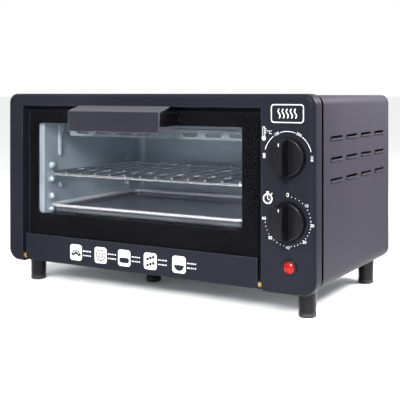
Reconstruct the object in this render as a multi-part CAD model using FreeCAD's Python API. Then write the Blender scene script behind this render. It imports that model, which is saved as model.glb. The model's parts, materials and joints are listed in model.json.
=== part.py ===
import FreeCAD, Part
import math
import os
from FreeCAD import Vector

# Countertop toaster oven. Millimetres, +Z up, front towards -Y.
# Origin: middle of the overall box in X and Y, on the surface that the feet stand on.

# Overall sizes
width = 360.0
panel_height = 181.0
body_depth = 214.0
foot_height = 24.0
handle_reach = 33.4
inlet_proud = 2.5

# Sheet metal
panel_sheet = 1.0
wrap_sheet = 0.8
cavity_sheet = 0.6
cover_sheet = 0.8

# Front panel
rim_depth = 15.6
rim_return = 5.0
corner_top = 10.0
corner_bottom = 13.0
edge_round = 4.5
recess_depth = 10.5
stile_width = 20.5
top_rail = 12.6
control_width = 52.6
opening_corner = 3.0
window_side = 14.1
window_far_side = 23.1
window_bottom_rise = 52.5
window_top_drop = 31.5
small_hole_radius = 1.2
small_hole_pitch = 6.5
small_hole_drop = 5.0

# Wrap
rim_proud = 1.5
groove = 8.0
wrap_return = 8.0
louvre_length = 30.5
louvre_height = 2.4
louvre_rear_gap = 18.0
louvre_columns = 4
louvre_rows = 3
louvre_row_pitch = 19.8
louvre_first = 41.0
louvre_top_drop = 40.5
louvre_lip = 1.3

# Cavity
cavity_flange = 6.9
cavity_far_flange = 1.0
cavity_rear_gap = 18.0
cavity_corner = 8.0
cavity_floor_rise = 37.0
cavity_ceiling_drop = 20.5
pip_radius = 3.4
pip_height = 5.0

# Door
door_gap = 4.6
door_face = 2.0
glass_thickness = 4.0
trim_sheet = 1.0
trim_height = 28.0
trim_back_height = 20.0
door_bottom_rise = 2.5
gasket_thickness = 1.0
pin_radius = 2.1
running_clearance = 0.06
moving_gap = 0.4

# Handle
handle_length = 108.0
handle_front_height = 20.0
handle_rise = 5.0
handle_thickness = 17.8
handle_arm = 12.0
handle_skin = 1.0
facing_corner = 3.0

# Controls
temperature_rise = 124.0
timer_rise = 66.4
lamp_shift = 1.8
lamp_rise = 25.1
knob_radius = 18.0
knob_skirt = 6.0
knob_depth = 20.0
knob_gap = 0.6
knob_wall = 2.5
hub_wall = 3.0
hub_depth = 4.0
flat_start = 1.5
flat_cut = 0.97
shaft_radius = 3.0

# Rack and tray
rack_wire = 3.6
rod_wire = 2.2
rack_rods = 13
rack_rise = 94.2
tray_rise = 62.3
tray_bead = 3.2
tray_floor_gap = 0.4

# Heating elements
heater_radius = 3.25
upper_heater_drop = 29.0
lower_heater_rise = 46.5
heater_front = 62.0
heater_rear_gap = 58.0

# Feet
foot_radius = 8.6
foot_inset = 19.0
foot_front = 28.0
foot_rear_gap = 25.0
middle_foot_left = 43.0
middle_foot_depth = 81.0

# Details
control_screw = 1.5
control_screw_offset = 11.0
lamp_neck = 5.4
vent_pitch = 9.0
foot_screw = 2.0
base_start = 30.0
inlet_drop = 30.0
inlet_side = 40.0
inlet_bore = 4.0
inlet_neck = 6.5
inlet_flange = 9.5
cover_screw = 1.5
foot_tip = 4.0
pip_front = 23.0
pip_rear_gap = 31.0
shell_flange = 8.0
rib_front = 34.0
rib_width = 8.0
rib_top_drop = 38.0
rib_length = 28.0
guard_left = 28.5
guard_front = 20.0
guard_drop = 35.0
guard_height = 10.0
guard_depth = 14.0
guard_slot = 17.8
guard_slot_height = 4.2
guard_slot_pitch = 26.4
insulator_neck = 5.0
insulator_head = 7.0
heater_overhang = 16.0
terminal_radius = 1.6
terminal_length = 7.0
thermostat_width = 32.0
thermostat_height = 20.0
thermostat_depth = 24.0
timer_width = 40.0
timer_height = 40.0
timer_depth = 34.0
bell_radius = 17.0
shaft_depth = 12.0
shaft_reach = 6.0
grip_width = 5.4
grip_end_width = 6.6
grip_tip_length = 28.4
grip_round = 0.8
grip_base_length = 34.0
lens_radius = 5.2
lens_proud = 3.4
bezel_radius = 7.6
window_corner = 4.0
screw_play = 0.2
glass_play = 0.5
bush_play = 0.05
skin_step = 0.8
over = 1.0
near = 0.01
pin_gap = 0.4
press_fit = 0.02
fit_gap = 0.1
rivet_gap = 0.1
pin_reach = 5.5
seal_height = 14.0
pad_length = 30.0
handle_screw = 2.0
tray_sheet = 0.8
tray_corner = 9.0
wire_radius = 1.2
block_screw = 1.7
block_pitch = 9.0
rack_side_gap = 1.0
rack_set_back = 15.0
rack_rear_gap = 12.0
tray_set_back = 13.5
tray_rear_gap = 14.0
glass_edge_rise = 7.5
grip_step = 6.0
arm_step = 5.0

# Derived places
total_depth = handle_reach + body_depth + inlet_proud
front = -total_depth / 2 + handle_reach
rear = front + body_depth
half_width = width / 2
bottom = foot_height
top = bottom + panel_height
opening_left = -half_width + stile_width
opening_right = half_width - control_width
opening_top = top - top_rail
recess_face = front + recess_depth
recess_back = recess_face + panel_sheet
window_left = opening_left + window_side
window_right = opening_right - window_far_side
window_bottom = bottom + window_bottom_rise
window_top = top - window_top_drop
wrap_half = half_width - rim_proud
wrap_bottom = bottom + rim_proud
wrap_front = front + rim_depth + groove
cover_front = rear - cover_sheet
cavity_left = window_left + cavity_flange
cavity_right = window_right + cavity_far_flange
cavity_rear = rear - cavity_rear_gap
cavity_floor_top = bottom + cavity_floor_rise
cavity_ceiling = top - cavity_ceiling_drop
door_left = opening_left + door_gap
door_right = opening_right - door_gap
door_middle = (door_left + door_right) / 2
door_bottom = bottom + door_bottom_rise
door_top = opening_top - door_gap
glass_front = front + door_face
glass_back = glass_front + glass_thickness
trim_front = glass_front - trim_sheet
channel_depth = max(glass_thickness + gasket_thickness, 2 * (pin_radius + moving_gap))
trim_back = glass_front + channel_depth + trim_sheet
hinge_y = glass_front + channel_depth / 2
pin_head = hinge_y - front - panel_sheet - rivet_gap
hinge_z = door_bottom + trim_sheet + pin_radius + pin_gap
control_x = half_width - control_width / 2
lamp_x = control_x + lamp_shift
temperature_z = bottom + temperature_rise
timer_z = bottom + timer_rise
lamp_z = bottom + lamp_rise
base_bottom = wrap_bottom + wrap_sheet
base_top = base_bottom + cover_sheet
feet_places = [
    (-half_width + foot_inset, front + foot_front),
    (half_width - foot_inset, front + foot_front),
    (-half_width + foot_inset, rear - foot_rear_gap),
    (half_width - foot_inset, rear - foot_rear_gap),
]
middle_foot = (-middle_foot_left, front + middle_foot_depth)
inlet_x = half_width - inlet_side
inlet_z = bottom + inlet_drop
pip_levels = [rack_rise - 6.3, rack_rise + 9.0, tray_rise - 7.4, tray_rise + 7.7]
cavity_front = recess_back
panel_back = front + panel_sheet
glass_seat = door_bottom + glass_edge_rise
handle_front = front - handle_reach
handle_back = handle_front + handle_thickness
handle_top = door_top
handle_left = door_middle - handle_length / 2
handle_right = door_middle + handle_length / 2
handle_low = handle_top - handle_front_height
grip_low = handle_low + grip_step
arm_low = handle_low + arm_step
handle_screw_z = (arm_low + handle_top) / 2
louvre_pitch = (body_depth - louvre_first - louvre_length - louvre_rear_gap) / (louvre_columns - 1)
rack_left = cavity_left + rack_side_gap
rack_right = cavity_right - rack_side_gap
rack_front = front + rack_set_back
rack_rear = cavity_rear - rack_rear_gap
rack_z = bottom + rack_rise
tray_left = rack_left
tray_right = rack_right
tray_front = front + tray_set_back
tray_rear = cavity_rear - tray_rear_gap
tray_top = bottom + tray_rise
tray_bottom = window_bottom + tray_floor_gap
block_x = control_x + 4.0
block_y = rear - 60.0
block_top = base_top + 18.0
wire_entry_z = base_top + 7.0


def box(x0, x1, y0, y1, z0, z1):
    return Part.makeBox(x1 - x0, y1 - y0, z1 - z0, Vector(x0, y0, z0))


def rod(radius, start, direction, length):
    return Part.makeCylinder(radius, length, Vector(*start), Vector(*direction))


def rod_x(radius, x0, x1, y, z):
    return rod(radius, (x0, y, z), (1, 0, 0), x1 - x0)


def rod_y(radius, x, y0, y1, z):
    return rod(radius, (x, y0, z), (0, 1, 0), y1 - y0)


def rod_z(radius, x, y, z0, z1):
    return rod(radius, (x, y, z0), (0, 0, 1), z1 - z0)


def fuse_all(shapes):
    shape = shapes[0]
    if len(shapes) > 1:
        shape = shape.multiFuse(shapes[1:])
    return shape.removeSplitter()


def cut_all(shape, tools):
    return shape.cut(Part.makeCompound(tools))


def corner_arc(centre_a, centre_b, radius, start_deg):
    """Quarter circle, anticlockwise from start_deg, in a plane given as (a, b)."""
    points = []
    for angle in (start_deg, start_deg + 45, start_deg + 90):
        turn = math.radians(angle)
        points.append((centre_a + radius * math.cos(turn), centre_b + radius * math.sin(turn)))
    return points


def rounded_wire(a0, a1, b0, b1, radius_low, radius_high, place):
    """Closed outline with rounded corners; place maps (a, b) to a point in space."""
    quarters = [
        corner_arc(a1 - radius_low, b0 + radius_low, radius_low, -90),
        corner_arc(a1 - radius_high, b1 - radius_high, radius_high, 0),
        corner_arc(a0 + radius_high, b1 - radius_high, radius_high, 90),
        corner_arc(a0 + radius_low, b0 + radius_low, radius_low, 180),
    ]
    edges = []
    for index, quarter in enumerate(quarters):
        following = quarters[(index + 1) % 4]
        corner = [Vector(*place(*point)) for point in quarter]
        edges.append(Part.Arc(*corner).toShape())
        edges.append(Part.LineSegment(corner[2], Vector(*place(*following[0]))).toShape())
    return Part.Wire(edges)


def prism_y(x0, x1, z0, z1, low, high, y0, y1):
    """Block along Y whose X-Z outline has rounded lower and upper corners."""
    outline = rounded_wire(x0, x1, z0, z1, low, high, lambda x, z: (x, y0, z))
    return Part.Face(outline).extrude(Vector(0, y1 - y0, 0))


def prism_z(x0, x1, y0, y1, near, far, z0, z1):
    """Block along Z whose X-Y outline has rounded front and rear corners."""
    outline = rounded_wire(x0, x1, y0, y1, near, far, lambda x, y: (x, y, z0))
    return Part.Face(outline).extrude(Vector(0, 0, z1 - z0))


def body_block(inset, y0, y1, drop=0.0):
    """The oven's outline, drawn in by inset from the front panel's outer skin."""
    low = max(corner_bottom - inset - drop, 1.0)
    high = max(corner_top - inset - drop, 1.0)
    return prism_y(-half_width + inset, half_width - inset, bottom + inset, top - inset, low, high, y0, y1)


def round_front(block, y, radius):
    edges = [edge for edge in block.Edges if abs(edge.BoundBox.YMax - y) < near]
    return block.makeFillet(radius, edges)


def bent_tube(points, bend, radius):
    """Tube along straight runs joined by tangent arcs of one bend radius."""
    path = [Vector(*point) for point in points]
    edges = []
    start = path[0]
    for before, here, after in zip(path, path[1:], path[2:]):
        run_in = (here - before).normalize()
        run_out = (after - here).normalize()
        half_turn = run_in.getAngle(run_out) / 2
        setback = bend * math.tan(half_turn)
        first = here - run_in * setback
        last = here + run_out * setback
        inward = (run_out - run_in).normalize()
        middle = here + inward * (bend / math.cos(half_turn) - bend)
        edges.append(Part.LineSegment(start, first).toShape())
        edges.append(Part.Arc(first, middle, last).toShape())
        start = last
    edges.append(Part.LineSegment(start, path[-1]).toShape())
    section = Part.Wire([Part.Circle(path[0], path[1] - path[0], radius).toShape()])
    return Part.Wire(edges).makePipeShell([section], True, False)


def save(name, shape):
    shape.exportStep("parts/" + name + ".step")


# ---- Casing ----

def front_panel():
    """Pressed pan: rounded face, rim, return flange, and the recess that the door closes into."""
    outer = round_front(body_block(0, front, front + rim_depth), front, edge_round)
    hollow_round = edge_round - panel_sheet
    hollow_front = front + panel_sheet
    hollow = body_block(panel_sheet, hollow_front, front + rim_depth - panel_sheet)
    hollow = round_front(hollow, hollow_front, hollow_round)
    mouth = body_block(rim_return, hollow_front + panel_sheet, front + rim_depth + over)
    jamb = prism_y(
        opening_left - panel_sheet, opening_right + panel_sheet, bottom, opening_top + panel_sheet,
        opening_corner, opening_corner + panel_sheet, front, recess_back,
    )
    recess = prism_y(
        opening_left, opening_right, bottom - 2 * opening_corner, opening_top,
        opening_corner, opening_corner, front - over, recess_face,
    )
    below = box(
        opening_left - panel_sheet, opening_right + panel_sheet,
        recess_face, recess_back, bottom, bottom + 2 * opening_corner,
    )
    panel = outer.cut(hollow).cut(mouth).fuse(jamb.fuse(below).common(outer)).cut(recess)
    tools = [prism_y(
        window_left, window_right, window_bottom, window_top, window_corner, window_corner,
        recess_face - over, recess_back + over,
    )]
    hole_z = window_bottom - small_hole_drop
    count = int((window_right - window_left - 2 * small_hole_pitch) / small_hole_pitch)
    first = (window_left + window_right - (count - 1) * small_hole_pitch) / 2
    for index in range(count):
        x = first + index * small_hole_pitch
        tools.append(rod_y(small_hole_radius, x, recess_face - over, recess_back + over, hole_z))
    for z in (temperature_z, timer_z):
        tools.append(rod_y(shaft_radius + 2, control_x, front - over, front + 3, z))
        for side in (-1, 1):
            x = control_x + side * control_screw_offset
            tools.append(rod_y(control_screw + screw_play, x, front - over, front + 3, z))
    tools.append(rod_y(lamp_neck + screw_play, lamp_x, front - over, front + 3, lamp_z))
    for jamb_x in (opening_left - panel_sheet / 2, opening_right + panel_sheet / 2):
        tools.append(rod_x(pin_radius + running_clearance, jamb_x - over, jamb_x + over, hinge_y, hinge_z))
    return cut_all(panel, tools).removeSplitter()


def louvre(side, y, z):
    """A lanced slot with a pressed lip under it: the cut and the lip, on one side wall."""
    wall = side * wrap_half
    slot = prism_of_slot(wall, y, z)
    lip_z = z - louvre_height / 2 - louvre_lip * 0.7
    lip = rod(louvre_lip, (wall, y + louvre_lip, lip_z), (0, 1, 0), louvre_length - 2 * louvre_lip)
    for end in (y + louvre_lip, y + louvre_length - louvre_lip):
        lip = lip.fuse(Part.makeSphere(louvre_lip, Vector(wall, end, lip_z)))
    groove_cut = rod(louvre_lip / 2, (wall - side * 0.9, y + 2, lip_z), (0, 1, 0), louvre_length - 4)
    return slot, lip, groove_cut


def prism_of_slot(wall, y, z):
    radius = louvre_height / 2
    slot = box(wall - 3, wall + 3, y + radius, y + louvre_length - radius, z - radius, z + radius)
    for end in (y + radius, y + louvre_length - radius):
        slot = slot.fuse(rod_x(radius, wall - 3, wall + 3, end, z))
    return slot


def outer_wrap():
    """Top and sides in one sheet, turned in at the front, the rear and along both lower edges."""
    rim = body_block(rim_proud, wrap_front, cover_front)
    tongue = body_block(rim_return, wrap_front - groove, wrap_front)
    shell = rim.fuse(tongue)
    inner = rim_proud + wrap_sheet
    hollow = body_block(inner, wrap_front + wrap_sheet, cover_front - wrap_sheet)
    front_mouth = body_block(rim_return + wrap_sheet, wrap_front - groove - over, wrap_front + 2)
    rear_mouth = body_block(wrap_return, cover_front - 3, cover_front + over)
    underside = box(
        -half_width + rim_proud + wrap_return * 4, half_width - rim_proud - wrap_return * 4,
        front + base_start, cover_front - wrap_return, wrap_bottom - over, base_bottom + 0.5,
    )
    shell = shell.cut(hollow).cut(front_mouth).cut(rear_mouth).cut(underside)
    slots = []
    lips = []
    grooves = []
    for side in (-1, 1):
        for row in range(louvre_rows):
            z = top - louvre_top_drop - row * louvre_row_pitch
            for column in range(louvre_columns):
                slot, lip, groove_cut = louvre(side, front + louvre_first + column * louvre_pitch, z)
                slots.append(slot)
                lips.append(lip.cut(hollow))
                grooves.append(groove_cut)
    tools = slots + grooves
    for x, y in feet_places:
        tools.append(rod_z(foot_screw + 0.3, x, y, wrap_bottom - over, base_top + over))
    for x, z in cover_screw_places():
        tools.append(rod_y(cover_screw + 0.1, x, cover_front - 2, cover_front + over, z))
    return cut_all(shell.multiFuse(lips), tools).removeSplitter()


def cover_screw_places():
    side = half_width - (rim_proud + wrap_return) / 2 - wrap_sheet
    places = []
    for x in (-side, side):
        for z in (bottom + 40, top - 40):
            places.append((x, z))
    for x in (-100.0, 100.0):
        places.append((x, top - (rim_proud + wrap_return) / 2 - wrap_sheet))
    return places


def base_plate():
    """Flat plate that lies on the wrap's lower flanges, slotted for cooling air."""
    margin = corner_bottom
    plate = box(
        -half_width + margin, half_width - margin,
        wrap_front + wrap_sheet + fit_gap, cover_front - wrap_sheet, base_bottom, base_top,
    )
    tools = []
    for column in range(15):
        x = (column - 7) * vent_pitch * 2
        if abs(x - middle_foot[0]) > foot_radius + 3:
            tools.append(slot_z(x, front + 70, front + 100))
        tools.append(slot_z(x, front + 130, front + 160))
    for x, y in feet_places + [middle_foot]:
        tools.append(rod_z(foot_screw - 0.3, x, y, base_bottom - over, base_top + over))
    return cut_all(plate, tools)


def slot_z(x, y0, y1):
    radius = 2.0
    cut = box(x - radius, x + radius, y0 + radius, y1 - radius, base_bottom - over, base_top + over)
    for end in (y0 + radius, y1 - radius):
        cut = cut.fuse(rod_z(radius, x, end, base_bottom - over, base_top + over))
    return cut


def rear_cover():
    """Flat closing plate on the wrap's rear flange, with cooling slots and the cord inlet."""
    plate = body_block(rim_proud + 1.0, cover_front, rear)
    tools = []
    for row in range(5):
        z = top - 45 - row * 9.0
        for column in range(9):
            x = (column - 4.5) * 22.0
            tools.append(box(x, x + 16, cover_front - over, rear + over, z, z + 3))
    tools.append(rod_y(inlet_neck, inlet_x, cover_front - over, rear + over, inlet_z))
    for x, z in cover_screw_places():
        tools.append(rod_y(cover_screw + 0.1, x, cover_front - over, rear + over, z))
    return cut_all(plate, tools)


def cord_inlet_bushing():
    """Grommet in the rear cover, bored for the supply cord."""
    flange = rod_y(inlet_flange, inlet_x, rear, rear + inlet_proud, inlet_z)
    flange = flange.makeFillet(0.8, [edge for edge in flange.Edges if edge.BoundBox.YMin > rear + over])
    neck = rod_y(inlet_neck - 0.05, inlet_x, cover_front - 6, rear, inlet_z)
    lock = rod_y(inlet_neck + over, inlet_x, cover_front - 4, cover_front, inlet_z)
    bore = rod_y(inlet_bore, inlet_x, cover_front - 7, rear + inlet_proud + over, inlet_z)
    return fuse_all([flange, neck, lock]).cut(bore)


def foot(x, y, z):
    """Tapered leg with a rubber-tip spigot, hanging from height z."""
    leg = Part.makeCone(foot_radius - 0.6, foot_radius, z - foot_tip, Vector(x, y, foot_tip))
    recess = rod_z(foot_screw + 2.2, x, y, foot_tip - over, z - 3)
    hole = rod_z(foot_screw + 0.2, x, y, z - 4, z + over)
    return leg.cut(recess).cut(hole)


def foot_pad(x, y):
    """Rubber ring that the foot stands on."""
    ring = rod_z(foot_radius - 0.4, x, y, 0, foot_tip)
    edges = [edge for edge in ring.Edges if edge.BoundBox.ZMax < 0.1]
    ring = ring.makeFillet(1.2, edges)
    return ring.cut(rod_z(foot_screw + 2.2, x, y, -1, foot_tip + over))


def foot_screws():
    screws = []
    for x, y in feet_places:
        screws.append(screw_up(x, y, wrap_bottom - 3, base_top + 3))
    screws.append(screw_up(middle_foot[0], middle_foot[1], base_bottom - 3, base_top + 3))
    return Part.makeCompound(screws)


def screw_up(x, y, seat, tip):
    """Pan-head screw from below: head under the seat, shank up to the tip, cross recess."""
    head = rod_z(foot_screw + 1.7, x, y, seat - 1.8, seat)
    shank = rod_z(foot_screw - 0.35, x, y, seat, tip)
    cross = fuse_all([
        box(x - 1.8, x + 1.8, y - 0.3, y + 0.3, seat - 2, seat - over),
        box(x - 0.3, x + 0.3, y - 1.8, y + 1.8, seat - 2, seat - over),
    ])
    return head.fuse(shank).cut(cross).removeSplitter()


def screw_in(x, z, seat, tip, radius, sense=1):
    """Pan-head screw along Y; sense 1 enters towards -Y, sense -1 enters towards +Y."""
    low, high = sorted((seat, tip))
    shank = rod_y(radius, x, low, high, z)
    outer = seat + sense * 1.6
    head = rod_y(radius * 1.9, x, min(seat, outer), max(seat, outer), z)
    cut_low, cut_high = sorted((outer + sense * 0.2, outer - sense * 0.8))
    cross = fuse_all([
        box(x - radius, x + radius, cut_low, cut_high, z - 0.25, z + 0.25),
        box(x - 0.25, x + 0.25, cut_low, cut_high, z - radius, z + radius),
    ])
    return head.fuse(shank).cut(cross).removeSplitter()


def rear_cover_screws():
    return Part.makeCompound([
        screw_in(x, z, rear, cover_front - 5, cover_screw) for x, z in cover_screw_places()
    ])


# ---- Cavity ----


def wall_pip(side, y, z, scale=1.0):
    """Domed pressing that stands into the cavity from a side wall."""
    wall = cavity_left if side < 0 else cavity_right
    reach = pip_height * scale
    radius = (pip_radius ** 2 + reach ** 2) / (2 * reach)
    centre = Vector(wall - side * (reach - radius), y, z)
    dome = Part.makeSphere(radius, centre)
    hollow = Part.makeSphere(radius - cavity_sheet, centre)
    return dome, hollow


def cavity_shell():
    """Left wall, back and right wall bent from one sheet, with flanges and pressed pips."""
    t = cavity_sheet
    z0 = cavity_floor_top
    z1 = cavity_ceiling
    inside = prism_z(
        cavity_left, cavity_right, cavity_front - 30, cavity_rear, 1, cavity_corner, z0 - over, z1 + over,
    )
    outside = prism_z(
        cavity_left - t, cavity_right + t, cavity_front - 30, cavity_rear + t, 1, cavity_corner + t, z0, z1,
    )
    behind = box(-half_width, half_width, cavity_front, rear, z0 - over, z1 + over)
    blocks = [outside.common(behind)]
    for low in (z0, z1 - t):
        flange = prism_z(
            cavity_left - shell_flange, cavity_right + shell_flange,
            cavity_front - 30, cavity_rear + shell_flange, 1, cavity_corner + shell_flange, low, low + t,
        )
        blocks.append(flange.common(behind))
    blocks.append(box(cavity_left - 12, cavity_right + 12, cavity_front, cavity_front + t, z0, z1))
    domes = []
    hollows = []
    for side in (-1, 1):
        for y in (front + pip_front, cavity_rear - pip_rear_gap):
            for level in pip_levels:
                dome, hollow = wall_pip(side, y, bottom + level)
                domes.append(dome.common(inside))
                hollows.append(hollow)
        dome, hollow = wall_pip(side, front + pip_front + 15, bottom + tray_rise + 18, 0.6)
        domes.append(dome.common(inside))
        hollows.append(hollow)
        ridge = wall_rib(side, 0)
        domes.append(ridge.common(inside))
        hollows.append(wall_rib(side, cavity_sheet))
    shell = blocks[0].multiFuse(blocks[1:]).cut(inside).multiFuse(domes)
    holes = []
    for y, z in heater_places():
        holes.append(rod_x(insulator_neck + bush_play, cavity_left - 2, cavity_left + over, y, z))
        holes.append(rod_x(insulator_neck + bush_play, cavity_right - over, cavity_right + 2, y, z))
    return cut_all(shell, hollows + holes).removeSplitter()


def wall_rib(side, inset):
    """Upright pressed rib near the cavity mouth; inset gives the hollow behind it."""
    wall = cavity_left if side < 0 else cavity_right
    radius = rib_width / 2 - inset
    y = front + rib_front + rib_width / 2
    z1 = top - rib_top_drop
    z0 = z1 - rib_length
    centre = wall + side * (rib_width / 2 - 2.0)
    rib = rod_z(radius, centre, y, z0, z1)
    for z in (z0, z1):
        rib = rib.fuse(Part.makeSphere(radius, Vector(centre, y, z)))
    return rib


def cavity_ceiling_sheet():
    t = cavity_sheet
    plate = box(
        cavity_left - shell_flange, cavity_right + shell_flange,
        cavity_front, cavity_rear + shell_flange, cavity_ceiling, cavity_ceiling + t,
    )
    lip = box(
        cavity_left - shell_flange, cavity_right + shell_flange,
        cavity_front, cavity_front + t, cavity_ceiling, cavity_ceiling + 6,
    )
    return plate.fuse(lip).removeSplitter()


def cavity_floor_sheet():
    t = cavity_sheet
    plate = box(
        cavity_left - shell_flange, cavity_right + shell_flange,
        cavity_front, cavity_rear + shell_flange, cavity_floor_top - t, cavity_floor_top,
    )
    lip = box(
        cavity_left - shell_flange, cavity_right + shell_flange,
        cavity_front, cavity_front + t, cavity_floor_top - 6, cavity_floor_top - t,
    )
    return plate.fuse(lip).removeSplitter()


def upper_heater_guard():
    """Slotted strip that hangs from the ceiling in front of the upper heating elements."""
    t = cavity_sheet * 1.5
    x0 = cavity_left + guard_left
    x1 = cavity_right - 0.5
    y0 = front + guard_front
    z1 = top - guard_drop
    z0 = z1 - guard_height
    strip = box(x0, x1, y0, y0 + t, z0, z1)
    shelf = box(x0, x1, y0, y0 + guard_depth, z1 - t, z1)
    tabs = [box(x, x + 12, y0, y0 + t, z1 - t, cavity_ceiling) for x in (x0, x1 - 12)]
    feet = [box(x, x + 12, y0, y0 + 10, cavity_ceiling - t, cavity_ceiling) for x in (x0, x1 - 12)]
    slots = []
    x = x0 + guard_slot_pitch - guard_slot
    slot_z = z0 + 4.4
    radius = guard_slot_height / 2
    while x + guard_slot < x1 - 2:
        slots.append(fuse_all([
            box(x + radius, x + guard_slot - radius, y0 - over, y0 + 2, slot_z - radius, slot_z + radius),
            rod_y(radius, x + radius, y0 - over, y0 + 2, slot_z),
            rod_y(radius, x + guard_slot - radius, y0 - over, y0 + 2, slot_z),
        ]))
        x += guard_slot_pitch
    return cut_all(fuse_all([strip, shelf] + tabs + feet), slots)


def heater_places():
    places = []
    for z in (top - upper_heater_drop, bottom + lower_heater_rise):
        for y in (front + heater_front, cavity_rear - heater_rear_gap):
            places.append((y, z))
    return places


def heating_element(y, z):
    """Straight sheathed rod that passes through both side walls, with a stud at each end."""
    x0 = cavity_left - heater_overhang
    x1 = cavity_right + heater_overhang
    sheath = rod_x(heater_radius, x0, x1, y, z)
    studs = [
        rod_x(terminal_radius, x0 - terminal_length, x0, y, z),
        rod_x(terminal_radius, x1, x1 + terminal_length, y, z),
    ]
    return fuse_all([sheath] + studs)


def heater_bushes():
    """Ceramic bushes that carry the heating elements in the side walls."""
    bushes = []
    for y, z in heater_places():
        for wall, side in ((cavity_left, -1), (cavity_right, 1)):
            inner = wall - side * 3.0
            outer = wall + side * (cavity_sheet + 8.0)
            neck = rod_x(insulator_neck, min(inner, outer), max(inner, outer), y, z)
            seat = wall + side * cavity_sheet
            head = rod_x(insulator_head, min(seat, outer), max(seat, outer), y, z)
            bore = rod_x(heater_radius + 0.05, min(inner, outer) - 1, max(inner, outer) + 1, y, z)
            bushes.append(neck.fuse(head).cut(bore).removeSplitter())
    return Part.makeCompound(bushes)


# ---- Controls ----


def control_body(z, wide, high, deep):
    """Case behind the panel with a blind bore for its shaft and two tapped screw holes."""
    case = box(
        control_x - wide / 2, control_x + wide / 2,
        panel_back, panel_back + deep, z - high / 2, z + high / 2,
    )
    upright = [edge for edge in case.Edges if edge.BoundBox.YLength > deep - over]
    case = case.makeFillet(2.0, upright)
    bore = rod_y(
        shaft_radius + running_clearance, control_x, panel_back - over, panel_back + shaft_depth + over, z,
    )
    holes = [
        rod_y(control_screw, control_x + side * control_screw_offset, panel_back - over, panel_back + 7, z)
        for side in (-1, 1)
    ]
    return cut_all(case, [bore] + holes)


def thermostat_body():
    body = control_body(temperature_z, thermostat_width, thermostat_height, thermostat_depth)
    end = panel_back + thermostat_depth
    blades = [
        box(control_x + x, control_x + x + 6, end, end + 10, temperature_z - 0.5, temperature_z + 0.5)
        for x in (-12, 6)
    ]
    return fuse_all([body] + blades)


def timer_body():
    body = control_body(timer_z, timer_width, timer_height, timer_depth)
    end = panel_back + timer_depth
    post = rod_y(3, control_x, end, end + 3, timer_z)
    blades = [
        box(control_x + x, control_x + x + 6, end, end + 10, timer_z - 15.5, timer_z - 14.5)
        for x in (-16, 10)
    ]
    hammer = box(control_x - over, control_x + over, end, end + 5, timer_z + 18, timer_z + 19.5)
    return fuse_all([body, post, hammer] + blades)


def timer_bell():
    """Small dished bell on the timer's rear post."""
    start = panel_back + timer_depth + 3
    radius = bell_radius - 3.0
    dish = rod_y(radius, control_x, start, start + 6, timer_z + over)
    edges = [edge for edge in dish.Edges if edge.BoundBox.YMin > start + 5]
    dish = dish.makeFillet(3.0, edges)
    inner = rod_y(radius - over, control_x, start - over, start + 5, timer_z + over)
    hub = rod_y(3, control_x, start, start + 5.5, timer_z)
    return dish.cut(inner).fuse(hub).removeSplitter()


def control_shaft(z):
    """Shaft with a flat for its knob."""
    shaft = rod_y(shaft_radius, control_x, front - shaft_reach, panel_back + shaft_depth, z)
    flat = box(
        control_x - hub_depth, control_x + hub_depth,
        front - shaft_reach - over, front - flat_start, z + shaft_radius - flat_cut, z + shaft_radius + over,
    )
    return shaft.cut(flat)


def control_screws():
    screws = []
    for z in (temperature_z, timer_z):
        for side in (-1, 1):
            x = control_x + side * control_screw_offset
            screws.append(screw_in(x, z, front, panel_back + 6.5, control_screw - 0.05, -1))
    return Part.makeCompound(screws)


def knob(z):
    """Round skirt with a raised grip bar whose flanks are hollowed, and a bored hub behind."""
    back = front - knob_gap
    skirt_front = back - knob_skirt
    tip = front - knob_depth
    skirt = Part.makeCone(
        knob_radius - 0.8, knob_radius, knob_skirt, Vector(control_x, skirt_front, z), Vector(0, 1, 0),
    )
    lip = [edge for edge in skirt.Edges if edge.BoundBox.YMax < skirt_front + near]
    skirt = skirt.makeFillet(1.2, lip)
    half = grip_end_width / 2
    base = skirt_front + over
    bar = side_profile(
        [
            (base, z - grip_base_length / 2), (tip, z - grip_tip_length / 2),
            (tip, z + grip_tip_length / 2), (base, z + grip_base_length / 2),
        ],
        control_x - half, control_x + half,
    )
    scoop = grip_scoop()
    for side in (-1, 1):
        offset = control_x + side * (grip_width / 2 + scoop)
        bar = bar.cut(rod_y(scoop, offset, tip - over, skirt_front + 2, z))
    nose = [edge for edge in bar.Edges if edge.BoundBox.YMax < tip + near]
    bar = bar.makeFillet(grip_round, nose)
    recess = rod_y(knob_radius - knob_wall, control_x, back - hub_depth, back + over, z)
    hub = rod_y(shaft_radius + hub_wall, control_x, back - hub_depth - over, back, z)
    bore = rod_y(shaft_radius + press_fit, control_x, front - shaft_reach, back + over, z)
    flat = box(
        control_x - hub_depth, control_x + hub_depth,
        front - shaft_reach - over, front - flat_start - fit_gap,
        z + shaft_radius - flat_cut + press_fit, z + shaft_radius + hub_wall,
    )
    return skirt.fuse(bar).cut(recess).fuse(hub).cut(bore.cut(flat)).removeSplitter()


def grip_scoop():
    """Radius of the hollow flank that thins the bar from its end width to its waist."""
    rise = (grip_end_width - grip_width) / 2
    half_chord = grip_tip_length / 2
    return (half_chord ** 2 + rise ** 2) / (2 * rise)


def indicator_bezel():
    ring = rod_y(bezel_radius, lamp_x, front - 1.4, front, lamp_z)
    ring = ring.makeFillet(0.7, [edge for edge in ring.Edges if edge.BoundBox.YMax < front - 1.3])
    neck = rod_y(lamp_neck + 0.1, lamp_x, front, panel_back + 14, lamp_z)
    bore = rod_y(lens_radius, lamp_x, front - 2, panel_back + 15, lamp_z)
    return ring.fuse(neck).cut(bore).removeSplitter()


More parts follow.
